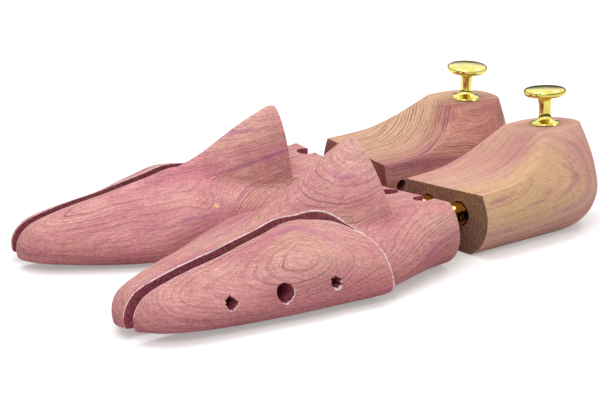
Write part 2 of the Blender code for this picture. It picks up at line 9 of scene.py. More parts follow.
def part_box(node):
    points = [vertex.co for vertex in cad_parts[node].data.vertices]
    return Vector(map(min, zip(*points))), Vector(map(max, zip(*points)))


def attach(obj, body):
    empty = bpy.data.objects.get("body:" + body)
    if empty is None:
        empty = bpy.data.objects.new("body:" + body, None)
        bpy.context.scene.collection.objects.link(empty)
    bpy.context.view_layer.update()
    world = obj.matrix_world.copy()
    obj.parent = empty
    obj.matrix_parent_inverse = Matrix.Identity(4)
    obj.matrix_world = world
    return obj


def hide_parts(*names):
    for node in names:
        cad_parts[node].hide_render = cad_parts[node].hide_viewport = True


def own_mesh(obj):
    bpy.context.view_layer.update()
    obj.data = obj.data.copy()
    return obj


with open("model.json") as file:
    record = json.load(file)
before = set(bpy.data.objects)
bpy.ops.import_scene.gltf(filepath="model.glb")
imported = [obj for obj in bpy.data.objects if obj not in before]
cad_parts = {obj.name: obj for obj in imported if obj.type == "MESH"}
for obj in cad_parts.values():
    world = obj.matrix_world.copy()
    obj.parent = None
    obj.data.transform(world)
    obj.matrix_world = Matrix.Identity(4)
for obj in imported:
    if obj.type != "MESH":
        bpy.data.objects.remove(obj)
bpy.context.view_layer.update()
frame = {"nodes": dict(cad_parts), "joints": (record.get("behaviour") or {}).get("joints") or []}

# Each tree has its own axes: X from the toe to the heel, Y from the outer side of the foot to the
# inner one, Z up from the sole. The joints of the frame give their directions, and the tubes, whose
# middle has a known place in those axes, give where they start.
TUBE_FRONT = -0.046
TUBE_REAR = 0.062
TUBE_LEVEL = 0.0185


def find_joint(name):
    return next(joint for joint in frame["joints"] if joint["name"] == name)


def joint_axis(name):
    return Vector(find_joint(name)["axis"])


def tree_axes(side):
    back = -joint_axis(side + "_heel_squeeze")
    inward = joint_axis(side + "_wing_squeeze")
    up = back.cross(inward)
    if up.z < 0:
        up.negate()
    middle = Vector((0, 0, 0))
    for tube in ("_tube_lateral", "_tube_medial"):
        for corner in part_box(side + tube):
            middle += Vector(corner) / 4
    start = middle - back * (TUBE_FRONT + TUBE_REAR) / 2 - up * TUBE_LEVEL
    axes = Matrix((back, inward, up)).transposed().to_4x4()
    return Matrix.Translation(start) @ axes


SIDES = ("left", "right")
AXES = {side: tree_axes(side) for side in SIDES}

# Toe blocks: solid aromatic cedar, turned on a copying lathe and sanded, never varnished. Behind the
# ridge a flat platform is sawn in, and a saw cut frees the wing on the outer side. Two tubes are
# pushed into the rear face, each held by a screw at the foot of a wide hole in the platform.
TOE_LENGTH = 0.1664
TOE_LATERAL = 0.0386
TOE_MEDIAL = 0.0393
RIDGE_HEIGHT = 0.0627
RIDGE_OFFSET = 0.0035
RIDGE_START = 0.3
RIDGE_BLEND = 5
RIDGE_SHAPE = {-1: (1.6, 0.72), 1: (2.0, 0.62)}
SHOULDER_SHARE = 0.62
SHOULDER_END = 0.7
CUT_SHOULDER_SHARE = 0.3
SOLE_SPRING = 0.005
SOLE_SPRING_END = 0.36
UNDERSIDE_REACH = 1.12
UNDERSIDE_FULLNESS = 2.6
SWELL_FADE = 2.5
LEAN = math.asin(abs(joint_axis("left_wing_squeeze").z))
LEAN_FADE = 0.020
PLATFORM_LENGTH = 0.032
PLATFORM_HEIGHT = 0.0304
CUT_OFFSET = 0.0053
CUT_RADIUS = 0.0291
CUT_EXIT = 0.0514
CUT_OVERRUN = 0.0015
RIGHT_ANGLE = math.pi / 2
EDGE_ROUND = 0.0005
SAW_ROUND = 0.0004
SOLE_ROUND = 0.0012
CREST_ROUND = 0.0022
SHARP = 0.00005
LEAST_ROUND = 0.00003
MOST_ROUND = 0.4
HAIR = 0.00001
WELD = 0.000008
SMOOTH_ANGLE = 35.0
NOSE_RINGS = ((0.0018, 0.0), (0.0007, 0.0002))
SAW_RINGS = ((0.0, 0.0005), (0.00012, 0.00015), (0.0005, 0.0))
END_RINGS = ((0.0, 0.0005), (0.00015, 0.00014), (0.0005, 0.0))

# Points of the lines below: a share of the length from the toe, and a share of the full width or
# height. FULLNESS holds powers instead.
LATERAL_PLAN = (
    (0.0, 0.117), (0.01, 0.263), (0.03, 0.375), (0.071, 0.525), (0.173, 0.657), (0.304, 0.762),
    (0.43, 0.846), (0.565, 0.907), (0.655, 0.955), (0.708, 0.9765), (0.774, 0.965), (0.863, 0.876),
    (0.93, 0.818), (1.0, 0.80),
)
MEDIAL_PLAN = (
    (0.0, 0.08), (0.012, 0.175), (0.03, 0.275), (0.06, 0.375), (0.107, 0.485), (0.173, 0.64),
    (0.244, 0.785), (0.345, 0.93), (0.435, 0.985), (0.524, 1.0), (0.613, 0.975), (0.702, 0.93),
    (0.81, 0.87), (0.911, 0.84), (1.0, 0.815),
)
CREST_LINE = (
    (0.0, 0.195), (0.018, 0.268), (0.042, 0.318), (0.107, 0.378), (0.19, 0.436), (0.30, 0.50),
    (0.41, 0.561), (0.49, 0.62), (0.56, 0.69), (0.637, 0.80), (0.70, 0.89), (0.76, 0.965),
    (0.81, 1.0), (0.87, 0.90), (1.0, 0.60),
)
BASE_LINE = (
    (0.0, 0.195), (0.018, 0.268), (0.042, 0.318), (0.107, 0.378), (0.19, 0.436), (0.30, 0.49),
    (0.41, 0.535), (0.49, 0.579), (0.58, 0.554), (0.67, 0.494), (0.76, 0.46), (0.85, 0.525),
    (1.0, 0.563),
)
WIDEST_LINE = ((0.0, 0.14), (0.22, 0.15), (0.5, 0.115), (0.67, 0.11), (0.81, 0.175), (1.0, 0.24))
FULLNESS = ((0.0, 2.05), (0.25, 1.52), (0.45, 2.18), (0.6, 1.92), (0.7, 2.04), (0.85, 1.76), (1.0, 3.0))
RIDGE_LATERAL = (
    (0.0, 0.01), (0.3, 0.14), (0.45, 0.63), (0.56, 0.637), (0.64, 0.757), (0.70, 0.869), (1.0, 0.77),
)
RIDGE_MEDIAL = ((0.0, 0.01), (0.3, 0.20), (0.45, 0.42), (0.56, 0.54), (0.7, 0.57), (1.0, 0.55))


def curve(points, place):
    """Smooth value at a place of a line through (place, value) points."""
    last = len(points) - 2
    i = 0
    while i < last and place > points[i + 1][0]:
        i += 1
    x0, y0 = points[i]
    x1, y1 = points[i + 1]

    def slope(k):
        a = points[max(k - 1, 0)]
        b = points[min(k + 1, len(points) - 1)]
        return (b[1] - a[1]) / (b[0] - a[0])

    run = x1 - x0
    t = min(max((place - x0) / run, 0.0), 1.0)
    rise = 3 * t ** 2 - 2 * t ** 3
    return (
        (1 - rise) * y0 + rise * y1
        + (t ** 3 - 2 * t ** 2 + t) * run * slope(i) + (t ** 3 - t ** 2) * run * slope(i + 1)
    )


def bulge(share, power):
    """Rounded fall from 1 to 0: a quarter of a circle at power 2, and squarer at a higher one."""
    return (1 - share ** power) ** (1 / power)


def blended(base, ridge):
    """Half width where the ridge grows out of the broader base, without a crease."""
    return (base ** RIDGE_BLEND + ridge ** RIDGE_BLEND) ** (1 / RIDGE_BLEND)


def levels(low, high, count):
    """Heights from low to high, closer together near both ends."""
    return [low + (high - low) * (1 - math.cos(math.pi * i / count)) / 2 for i in range(count + 1)]


class ToeSection:
    """Outline of the uncut toe block at a share of its length from the toe."""

    def __init__(self, share):
        self.crest = RIDGE_HEIGHT * curve(CREST_LINE, share)
        self.height = min(RIDGE_HEIGHT * curve(BASE_LINE, share), self.crest)
        self.widest = RIDGE_HEIGHT * curve(WIDEST_LINE, share)
        self.bottom = SOLE_SPRING * max(0.0, 1 - share / SOLE_SPRING_END) ** 2
        self.full = curve(FULLNESS, share)
        self.offset = RIDGE_OFFSET * min(1.0, share / RIDGE_START)
        self.wide = {
            -1: TOE_LATERAL * curve(LATERAL_PLAN, share) + self.offset,
            1: TOE_MEDIAL * curve(MEDIAL_PLAN, share) - self.offset,
        }
        self.ridge = {
            -1: TOE_LATERAL * curve(RIDGE_LATERAL, share),
            1: TOE_MEDIAL * curve(RIDGE_MEDIAL, share),
        }

    def at(self, side, z):
        """Sideways place of the surface at a height, on the outer (-1) or the inner (1) side."""
        wide = self.wide[side]
        if z < self.widest:
            under = (self.widest - z) / ((self.widest - self.bottom) * UNDERSIDE_REACH)
            rise = (z - self.bottom) / (self.widest - self.bottom)
            swell = blended(wide, self.ridge_at(side, self.widest)) / wide - 1
            fuller = 1 + swell * rise ** SWELL_FADE
            return self.offset + side * wide * fuller * bulge(under, UNDERSIDE_FULLNESS)
        share = min((z - self.widest) / (self.height - self.widest), 1.0)
        base = wide * bulge(share, self.full)
        return self.offset + side * blended(base, self.ridge_at(side, z))

    def ridge_at(self, side, z):
        """Half width of the ridge at a height, before it blends into the broader base."""
        power, root = RIDGE_SHAPE[side]
        rise = (z - self.bottom) / (self.crest - self.bottom)
        return self.ridge[side] * max(1 - rise ** power, 0.0) ** root

    def line(self, side, low, high, count):
        """Points (y, z) of one side's surface, from a low height to a high one."""
        return [(self.at(side, z), z) for z in levels(low, high, count)]

    def level(self, y, low, high):
        """Height between two levels at which the outer surface reaches a sideways place."""
        rising = self.at(-1, high) > self.at(-1, low)
        for _ in range(40):
            middle = (low + high) / 2
            if (self.at(-1, middle) < y) == rising:
                low = middle
            else:
                high = middle
        return (low + high) / 2


def lengths(line):
    """Distances along a line of (y, z) points."""
    total = [0.0]
    for a, b in zip(line, line[1:]):
        total.append(total[-1] + math.dist(a, b))
    return total


def spread(line, count, cut_start, cut_end):
    """Points evenly spaced along a line, from just after its start to just before its end."""
    total = lengths(line)
    start = min(cut_start, total[-1] * MOST_ROUND)
    end = total[-1] - min(cut_end, total[-1] * MOST_ROUND)
    points = []
    i = 0
    for k in range(count):
        place = start + (end - start) * k / (count - 1)
        while i < len(line) - 2 and total[i + 1] < place:
            i += 1
        span = total[i + 1] - total[i]
        t = (place - total[i]) / span if span > 1e-9 else 0.0
        points.append(tuple(a + (b - a) * t for a, b in zip(line[i], line[i + 1])))
    return points


def ring_of(parts):
    """Closed outline of (line, count, rounding after it) parts, each corner rounded over."""
    spans = []
    for k, (line, count, after) in enumerate(parts):
        spans.append(spread(line, count, parts[k - 1][2], after))
    ring = []
    for k, span in enumerate(spans):
        ring += span
        corner = parts[k][0][-1]
        following = spans[(k + 1) % len(spans)][0]
        for t in (0.25, 0.5, 0.75):
            ring.append(tuple(
                (1 - t) ** 2 * a + 2 * t * (1 - t) * b + t ** 2 * c
                for a, b, c in zip(span[-1], corner, following)
            ))
    return ring


def grounded(y, z):
    """Height of a point after the lowest part of a block is trued to the ground."""
    return z + y * math.tan(LEAN) * max(0.0, 1.0 - z / LEAN_FADE)


def standing(ring, x):
    return [(x, y, grounded(y, z)) for y, z in ring]


def loft(rings):
    """Closed body through a row of rings with as many points each."""
    bm = bmesh.new()
    verts = [bm.verts.new(point) for point in rings[0]]
    edges = [bm.edges.new((verts[i - 1], verts[i])) for i in range(len(verts))]
    bmesh.ops.contextual_create(bm, geom=edges)
    for ring in rings[1:]:
        made = bmesh.ops.extrude_edge_only(bm, edges=edges)["geom"]
        fresh = {item for item in made if isinstance(item, bmesh.types.BMVert)}
        edges = [
            item for item in made
            if isinstance(item, bmesh.types.BMEdge) and item.verts[0] in fresh and item.verts[1] in fresh
        ]
        following = []
        for vert, place in zip(verts, ring):
            other = next(e.other_vert(vert) for e in vert.link_edges if e.other_vert(vert) in fresh)
            other.co = place
            following.append(other)
        verts = following
    bmesh.ops.contextual_create(bm, geom=edges)
    bmesh.ops.remove_doubles(bm, verts=bm.verts, dist=WELD)
    return bm


def rod(start, end, radius, segments=48, end_radius=None):
    """Closed round bar, or a cone, between two points."""
    start, end = Vector(start), Vector(end)
    axis = end - start
    turn = Vector((0.0, 0.0, 1.0)).rotation_difference(axis).to_matrix().to_4x4()
    bm = bmesh.new()
    bmesh.ops.create_cone(
        bm, cap_ends=True, segments=segments, radius1=radius,
        radius2=radius if end_radius is None else end_radius, depth=axis.length,
        matrix=Matrix.Translation((start + end) / 2) @ turn,
    )
    return bm


def add_object(name, data):
    thing = bpy.data.objects.new(name, data)
    bpy.context.scene.collection.objects.link(thing)
    return thing


def shade(mesh, angle):
    """Shades a mesh smooth, apart from its edges past an angle in degrees."""
    mesh.shade_smooth()
    mesh.set_sharp_from_angle(angle=math.radians(angle))


def make_piece(name, bm, angle=SMOOTH_ANGLE):
    bmesh.ops.recalc_face_normals(bm, faces=bm.faces)
    mesh = bpy.data.meshes.new(name)
    bm.to_mesh(mesh)
    bm.free()
    shade(mesh, angle)
    return add_object(name, mesh)


def place_piece(name, bm, side, angle=SMOOTH_ANGLE):
    """Object of one tree from a mesh modelled in the tree's axes."""
    bmesh.ops.transform(bm, matrix=AXES[side], verts=bm.verts)
    return make_piece(name, bm, angle)


def bore(piece, side, cutters, finish=0):
    """Cuts bodies modelled in the tree's axes out of a piece. Their walls get one of its finishes."""
    helpers = []
    for cutter in cutters:
        helper = place_piece(piece.name + "_cutter", cutter, side)
        for material in piece.data.materials:
            helper.data.materials.append(material)
        for face in helper.data.polygons:
            face.material_index = finish
        modifier = piece.modifiers.new("bore", "BOOLEAN")
        modifier.operation = "DIFFERENCE"
        modifier.solver = "MANIFOLD"
        modifier.object = helper
        helpers.append(helper)
    graph = bpy.context.evaluated_depsgraph_get()
    cut_mesh = bpy.data.meshes.new_from_object(piece.evaluated_get(graph))
    piece.modifiers.clear()
    piece.data = cut_mesh
    for helper in helpers:
        bpy.data.objects.remove(helper, do_unlink=True)
    shade(cut_mesh, SMOOTH_ANGLE)


def block_ring(x, edge, platform, rounding=EDGE_ROUND):
    """Outline of the toe block at one place, with the saw cut at a sideways place, or None."""
    share = 1 + x / TOE_LENGTH
    section = ToeSection(share)
    widest, bottom, crest = section.widest, section.bottom, section.crest
    shoulder = min(section.height, widest + SHOULDER_SHARE * (crest - widest))
    if share > SHOULDER_END:
        shoulder = PLATFORM_HEIGHT
    if edge is None or section.at(-1, widest) > edge:
        edge = section.at(-1, widest) + 2 * HAIR
        kerf_top, kerf_low = widest + HAIR, widest - HAIR
    else:
        kerf_top = section.level(edge, widest, crest)
        kerf_low = bottom
        if section.at(-1, bottom) > edge:
            kerf_low = section.level(edge, bottom, widest)
    outer_shoulder = max(shoulder, kerf_top + CUT_SHOULDER_SHARE * (crest - kerf_top))
    medial_low = section.line(1, bottom, shoulder, 40)
    lateral_low = section.line(-1, kerf_top, outer_shoulder, 30)[::-1]
    if platform:
        middle = (section.offset, shoulder)
        medial_high = [medial_low[-1], middle]
        lateral_high = [middle, lateral_low[0]]
    else:
        medial_high = section.line(1, shoulder, crest, 30)
        lateral_high = section.line(-1, outer_shoulder, crest, 30)[::-1]
    kerf = [(edge, kerf_top), (edge, kerf_low)]
    rising = section.line(-1, bottom, max(kerf_low, bottom + HAIR), 12)
    under = [kerf[-1]] + [(max(y, edge), z) for y, z in rising[-2::-1]]
    sole = [under[-1], (section.at(1, bottom), bottom)]
    saw, peak = (SAW_ROUND, SHARP) if platform else (SHARP, CREST_ROUND)
    return ring_of((
        (medial_low, 22, saw), (medial_high, 14, peak), (lateral_high, 14, saw),
        (lateral_low, 12, rounding), (kerf, 12, rounding),
        (under, 8, SOLE_ROUND), (sole, 12, SOLE_ROUND),
    ))


def shrunk(ring, amount):
    """The ring moved inwards by a small amount."""
    count = len(ring)
    middle = [sum(point[k] for point in ring) / count for k in (0, 1)]
    inner = []
    for y, z in ring:
        reach = math.hypot(y - middle[0], z - middle[1])
        scale = max(1 - amount / max(reach, 1e-6), 0.05)
        inner.append((middle[0] + (y - middle[0]) * scale, middle[1] + (z - middle[1]) * scale))
    return inner


def cut_turn(start, edge, turns):
    """Places (x, y) round the bend in which a sawn face turns outwards."""
    for i in range(1, turns + 1):
        angle = RIGHT_ANGLE * i / turns
        yield start + CUT_RADIUS * math.sin(angle), edge - CUT_RADIUS + CUT_RADIUS * math.cos(angle)


def block_body():
    rings = []
    front = -TOE_LENGTH
    straight_end = -CUT_EXIT - CUT_RADIUS
    nose = block_ring(front + 2 * HAIR, -CUT_OFFSET, False)
    for inset, depth in NOSE_RINGS:
        rings.append(standing(shrunk(nose, inset), front + depth))
    steps = 56
    for i in range(1, steps + 1):
        x = front + (straight_end - front) * (i / steps) ** 1.5
        rings.append(standing(block_ring(x, -CUT_OFFSET, False), x))
    turns = 44
    for i, (x, edge) in enumerate(cut_turn(straight_end, -CUT_OFFSET, turns), 1):
        rounding = EDGE_ROUND * (1 - i / turns) + LEAST_ROUND
        rings.append(standing(block_ring(x, edge, False, rounding), x))
    overrun = block_ring(-CUT_EXIT, -CUT_OFFSET - CUT_RADIUS - CUT_OVERRUN, False)
    rings.append(standing(overrun, -CUT_EXIT + 2 * HAIR))
    rings.append(standing(block_ring(-CUT_EXIT, None, False), -CUT_EXIT + 5 * HAIR))
    saw = -PLATFORM_LENGTH
    steps = 12
    for i in range(1, steps):
        x = -CUT_EXIT + (saw + CUT_EXIT) * i / steps
        rings.append(standing(block_ring(x, None, False), x))
    back = block_ring(saw, None, False)
    for inset, depth in SAW_RINGS:
        inner = shrunk(back, inset)
        ring = [b if a[1] > PLATFORM_HEIGHT + FIT else a for a, b in zip(back, inner)]
        rings.append(standing(ring, saw - depth))
    rings.append(standing(block_ring(saw, None, True), saw + 2 * HAIR))
    steps = 18
    for i in range(1, steps):
        x = saw * (1 - i / steps)
        rings.append(standing(block_ring(x, None, True), x))
    end = block_ring(-HAIR, None, True)
    for inset, depth in END_RINGS:
        rings.append(standing(shrunk(end, inset), -depth))
    return loft(rings)


TUBE_SPACING = 0.0215
TUBE_DIAMETER = 0.0108
ACCESS_DIAMETER = 0.0095
ACCESS_INSET = {-1: 0.0034, 1: 0.0056}
FIT = 0.0003
SCREW_LEVEL = 0.0125
SCREW_PLACES = (-0.1287, -0.0797)
SPRING_DIAMETER = 0.0064
SPRING_POCKET = 0.006
OVERCUT = 0.01
SHORT_OVERCUT = 0.001


def tube_rod(start, end, sign, radius, segments=48):
    """Round bar along the outer (-1) or the inner (1) tube, between two places."""
    y = sign * TUBE_SPACING / 2
    return rod((start, y, TUBE_LEVEL), (end, y, TUBE_LEVEL), radius, segments)


def spring_rods(start, end):
    """Bars across the tree for the holes that the ends of the two springs sit in."""
    radius = SPRING_DIAMETER / 2 + FIT
    return [rod((x, start, SCREW_LEVEL), (x, end, SCREW_LEVEL), radius) for x in SCREW_PLACES]


class Wire:
    """Output of a node. Sums and products of wires add Math nodes."""

    def __init__(self, finish, socket):
        self.finish = finish
        self.socket = socket

    def math(self, operation, *values):
        return self.finish.node("ShaderNodeMath", {"operation": operation}, values)

    def __add__(self, other):
        return self.math("ADD", self, other)

    def __radd__(self, other):
        return self.math("ADD", other, self)

    def __sub__(self, other):
        return self.math("SUBTRACT", self, other)

    def __rsub__(self, other):
        return self.math("SUBTRACT", other, self)

    def __mul__(self, other):
        return self.math("MULTIPLY", self, other)

    def __rmul__(self, other):
        return self.math("MULTIPLY", other, self)

    def __truediv__(self, other):
        return self.math("DIVIDE", self, other)

    def __rtruediv__(self, other):
        return self.math("DIVIDE", other, self)

    def __pow__(self, other):
        return self.math("POWER", self, other)

    def fraction(self):
        return self.math("FRACT", self)

    def whole(self):
        return self.math("FLOOR", self)

    def step(self, low, high, first=0.0, last=1.0):
        """First value below low and last value above high, smooth between them."""
        values = {0: self, 1: low, 2: high, 3: first, 4: last}
        return self.finish.node("ShaderNodeMapRange", {"interpolation_type": "SMOOTHSTEP"}, values)

    def at_least(self, low):
        return self.math("MAXIMUM", self, low)

    def at_most(self, high):
        return self.math("MINIMUM", self, high)

    def near(self, other, reach):
        """1 where two wires are equal, falling to 0 where they differ by the reach."""
        return 1.0 - self.math("ABSOLUTE", self - other).step(reach * 0.3, reach)


class Finish:
    """Material whose nodes are added by Python expressions."""

    def __init__(self, name):
        self.material = bpy.data.materials.new(name)
        self.material.use_nodes = True
        self.tree = self.material.node_tree
        self.shader = self.tree.nodes["Principled BSDF"]
        self.place = self.node("ShaderNodeTexCoord", {}, {}, "Object")
        self.look = self.node("ShaderNodeTexCoord", {}, {}, "Normal")

    def node(self, kind, settings, values, output=0):
        """Adds a node: its settings first, then its sockets' values or links."""
        node = self.tree.nodes.new(kind)
        for key, value in settings.items():
            setattr(node, key, value)
        pairs = values.items() if isinstance(values, dict) else enumerate(values)
        for key, value in pairs:
            if isinstance(value, Wire):
                self.tree.links.new(value.socket, node.inputs[key])
            else:
                node.inputs[key].default_value = value
        return Wire(self, node.outputs[output])

    def mix(self, amount, first, second):
        """Mixes two colours."""
        first = first if isinstance(first, Wire) else (*first, 1.0)
        second = second if isinstance(second, Wire) else (*second, 1.0)
        return self.node("ShaderNodeMix", {"data_type": "RGBA"}, {0: amount, 6: first, 7: second}, 2)

    def dot(self, first, second):
        return self.node("ShaderNodeVectorMath", {"operation": "DOT_PRODUCT"}, (first, second), 1)

    def along(self, direction, start):
        """Distance in millimetres from a point along a direction."""
        moved = self.node("ShaderNodeVectorMath", {"operation": "SUBTRACT"}, (self.place, start))
        return self.dot(moved, [value * 1000 for value in direction])

    def noise(self, place, scale=1.0, detail=2.0, roughness=0.5):
        """Noise at a place, which is a wire or a tuple of its three coordinates."""
        if isinstance(place, tuple):
            place = self.node("ShaderNodeCombineXYZ", {}, place)
        values = {"Vector": place, "Scale": scale, "Detail": detail, "Roughness": roughness}
        return self.node("ShaderNodeTexNoise", {}, values)

    def bump(self, height, strength, distance):
        values = {"Strength": strength, "Distance": distance, "Height": height}
        return self.node("ShaderNodeBump", {}, values)

    def ray(self, kind):
        """1 for rays of a kind, such as Camera or Glossy, and 0 for others."""
        return self.node("ShaderNodeLightPath", {}, {}, "Is " + kind + " Ray")

    def feed(self, **values):
        """Sets the shader's sockets by name, with spaces written as underscores."""
        for key, value in values.items():
            socket = self.shader.inputs[key.replace("_", " ")]
            if isinstance(value, Wire):
                self.tree.links.new(value.socket, socket)
            else:
                socket.default_value = value


def srgb(red, green, blue):
    """Linear colour of a screen colour given in 0 to 255, none of it below 11."""
    return tuple(((value / 255 + 0.055) / 1.055) ** 2.4 for value in (red, green, blue))


def cedar(name, side, wood, sawn_shaded=False):
    """Unfinished cedar whose growth rings lie round a pith line. Lengths are in millimetres."""
    finish = Finish(name)
    axes = AXES[side]
    x, y, z = (finish.along(axes.col[k].xyz, axes.translation) for k in range(3))
    seed = wood["seed"]
    pith_y, pith_z = wood["pith"]
    tilt_y, tilt_z = wood["tilt"]
    across = y - pith_y - x * tilt_y
    over = z - pith_z - x * tilt_z
    radius = (across * across + over * over) ** 0.5
    # Distance from the pith, wavy along the tree and pushed out round a knot.
    bend = finish.noise((x * 0.012 + seed, across * 0.03, over * 0.03), detail=1.0) - 0.5
    flute = finish.noise((x * 0.07, across * 0.16 + seed, over * 0.16)) - 0.5
    middle, sag = wood["sag"]
    depth = radius + bend * wood["bend"] + flute * wood["flute"] + (x - middle) * (x - middle) * sag
    knot_glow = None
    for spot_x, spot_y, spot_z, push, spot in wood["knots"]:
        dx, dy, dz = x - spot_x, y - spot_y, z - spot_z
        near = (dx * dx * 0.6 + dy * dy + dz * dz) / (spot * spot)
        depth = depth + push / (1.0 + near * near)
        glow = 1.0 - near.step(0.004, 0.05)
        knot_glow = glow if knot_glow is None else knot_glow + glow
    pace = finish.noise((depth * 0.09 + seed, x * 0.004, 3.0))
    rings = depth / wood["spacing"] + pace * wood["pace"] + wood["first"]
    phase = rings.fraction()
    number = rings.whole()
    # Lines between the rings, as thin on a surface along the rings as on one across them.
    outward = finish.dot(finish.look, axes.col[1].xyz) * across
    facing = (outward + finish.dot(finish.look, axes.col[2].xyz) * over) / radius
    slant = (1.0 - facing * facing).at_least(0.012) ** 0.5
    width = slant * (wood["line_width"] / wood["spacing"])
    dither = finish.node("ShaderNodeTexWhiteNoise", {"noise_dimensions": "1D"}, {"W": number + seed})
    patchy = finish.noise((x * 0.03, y * 0.1 + number * 3.7, z * 0.1)).step(0.3, 0.62)
    strength = (dither ** 2.0 * 0.7 + 0.25) * (patchy * 0.6 + 0.4) * wood["ink"]
    line = (phase.near(0.5, width) * strength).at_most(1.0)
    thin = (rings * 3.0 + 0.5).fraction().near(0.5, width * 2.3) * (patchy * 0.7 + 0.3) * wood["fine"]
    late = (phase * 2.0).at_most(1.0) ** 2.0 * (1.0 - phase.step(0.5, 0.56)) * (dither * 0.7 + 0.3)
    fibre = finish.noise((x * 0.16, across * 0.9, over * 0.9), detail=3.0, roughness=0.75)
    fleck = finish.noise((x * 0.8, across * 1.6 + seed, over * 1.6), roughness=0.8)
    cloud = finish.noise((x * 0.016 + seed, y * 0.04, z * 0.04 + 2.0), detail=3.0, roughness=0.6)
    band = finish.noise((x * 0.008 + seed, depth * 0.22, over * 0.02), detail=3.0, roughness=0.65)
    streak = finish.noise((x * 0.014 + 4.0, depth * 0.3 + seed, over * 0.05), detail=4.0, roughness=0.65)
    # Rosy wood with ochre, then sapwood, painted shade towards the sole, violet streaks and the lines.
    colour = finish.mix(cloud.step(0.36, 0.66), wood["light"], wood["mid"])
    colour = finish.mix(band.step(0.46, 0.72) * wood["ochre_share"], colour, wood["ochre"])
    if wood["sap"]:
        sap = 1.0 - (depth + (cloud - 0.5) * 12.0).step(*wood["sap_range"])
        colour = finish.mix(sap, colour, wood["sap"])
    # Painted shade: the darker, redder low colour is mixed in below a wavy height above the sole.
    sole = 1.0 - (z + (cloud - 0.5) * 16.0).step(*wood["low_level"])
    colour = finish.mix(sole * wood["low_share"], colour, wood["low"])
    colour = finish.mix(streak.step(0.54, 0.70) * wood["violet_share"], colour, wood["violet"])
    for place, reach, share in wood["bands"]:
        veil = depth.near(place, reach) * (streak.step(0.36, 0.6) * 0.6 + 0.4)
        colour = finish.mix(veil * share, colour, wood["violet"])
    colour = finish.mix(late * 0.17, colour, wood["deep"])
    colour = finish.mix(line.at_least(thin), colour, wood["line"])
    if knot_glow:
        colour = finish.mix(knot_glow * 0.85, colour, wood["knot"])
    tone = ((fibre - 0.5) * 0.9 + (fleck - 0.5) * 1.0) * wood["grit"] + 1.0
    height = fibre * 0.5 + fleck * 0.6 - line * 0.35
    if sawn_shaded:
        marks = finish.noise((x * 0.9, y * 0.9, z * 0.7), detail=3.0, roughness=0.7)
        # Sawn faces: darker end grain together with painted shade for the saw cut, end faces and holes.
        colour = finish.mix(0.72, colour, wood["saw_shade"])
        colour = finish.mix(marks.step(0.4, 0.66) * 0.6, colour, wood["saw_line"])
        height = height + marks * 1.2
    colour = finish.node("ShaderNodeVectorMath", {"operation": "SCALE"}, {0: colour, 3: tone})
    finish.feed(
        Base_Color=colour, Roughness=0.74 - line * 0.1, Specular_IOR_Level=0.25,
        Normal=finish.bump(height, 0.35, 0.0002),
    )
    return finish.material


TOE_WOOD = {
    "light": srgb(224, 168, 160), "mid": srgb(206, 134, 138), "ochre": srgb(220, 176, 148),
    # The low colour is painted shade towards the sole.
    "low": srgb(194, 110, 118), "low_level": (2.0, 26.0), "low_share": 0.65, "ochre_share": 0.5,
    "deep": srgb(168, 90, 98), "line": srgb(108, 46, 50), "line_width": 0.26, "violet_share": 0.55,
    "violet": srgb(178, 100, 150), "knot": srgb(240, 208, 150), "bands": (), "knots": (), "sap": None,
    # The first sawn colour is darker end grain with painted shade; the second is the saw marks.
    "saw_shade": srgb(166, 64, 90), "saw_line": srgb(92, 24, 44), "sag": (0.0, 0.0),
    "spacing": 0.9, "pace": 3.0, "first": 0.0, "grit": 1.15, "ink": 0.9, "fine": 0.27,
}
TOE_WOODS = {
    "left": dict(
        TOE_WOOD, seed=1.3, pith=(-136.0, 234.9), tilt=(-0.062, 0.187), bend=4.0, flute=0.8,
        first=0.35, ink=0.7,
    ),
    "right": dict(
        TOE_WOOD, seed=8.1, pith=(23.8, -26.4), tilt=(0.21, 0.163), bend=5.0, flute=0.7,
        knots=((-79.6, 31.0, 26.3, 2.5, 7.0),), light=srgb(228, 170, 162), mid=srgb(208, 134, 142),
    ),
}
# Painted highlight: a near-white colour along the saw cut's upper edges and round the wing's holes.
PAINTED_EDGE_HIGHLIGHT = {
    "light": srgb(252, 230, 224), "mid": srgb(248, 220, 214),
    "low_share": 0.2, "ochre_share": 0.0, "violet_share": 0.0,
}


def cedar_faces(name, side, wood):
    """Finishes of a piece: sanded, sawn with painted shade, and a pale painted highlight for the edges.
    """
    return (
        cedar(name, side, wood), cedar(name + "_sawn", side, wood, sawn_shaded=True),
        cedar(name + "_rubbed", side, dict(wood, **PAINTED_EDGE_HIGHLIGHT)),
    )


SAWN_SHADED, EDGE_HIGHLIGHT = 1, 2
END_FACING = 0.92
CUT_FACING = 0.9
CUT_CLOSENESS = 0.00012
RIM_WIDTH = 0.0005
RIM_LEVEL = 0.004


def mark_ends(mesh, side, direction):
    """Gives the sawn finish with painted shade to the faces that look along a direction of the tree's
    axes.
    """
    look = (AXES[side].to_3x3() @ Vector(direction)).normalized()
    for face in mesh.polygons:
        if face.normal.dot(look) > END_FACING:
            face.material_index = SAWN_SHADED


def mark_cut(mesh, side, edge, back=0.0):
    """Gives the sawn finish with painted shade to the faces of the long saw cut, and the pale painted
    highlight to its edges.
    """
    to_tree = AXES[side].inverted()
    turn = to_tree.to_3x3()
    start = Vector((-CUT_EXIT - CUT_RADIUS - back, edge - CUT_RADIUS))
    for face in mesh.polygons:
        place = to_tree @ face.center
        look = (turn @ face.normal).xy
        if place.x > -CUT_EXIT + SAW_ROUND:
            continue
        away = place.xy - start
        if place.x < start.x:
            away.x = 0.0
        off = abs(away.length - CUT_RADIUS)
        facing = abs(look.dot(away.normalized()))
        # Faces of the saw cut get the sawn finish with painted shade.
        if off < CUT_CLOSENESS and facing > CUT_FACING:
            face.material_index = SAWN_SHADED
        # Along the cut's upper edge: the painted highlight.
        elif off < RIM_WIDTH and place.z > RIM_LEVEL:
            face.material_index = EDGE_HIGHLIGHT


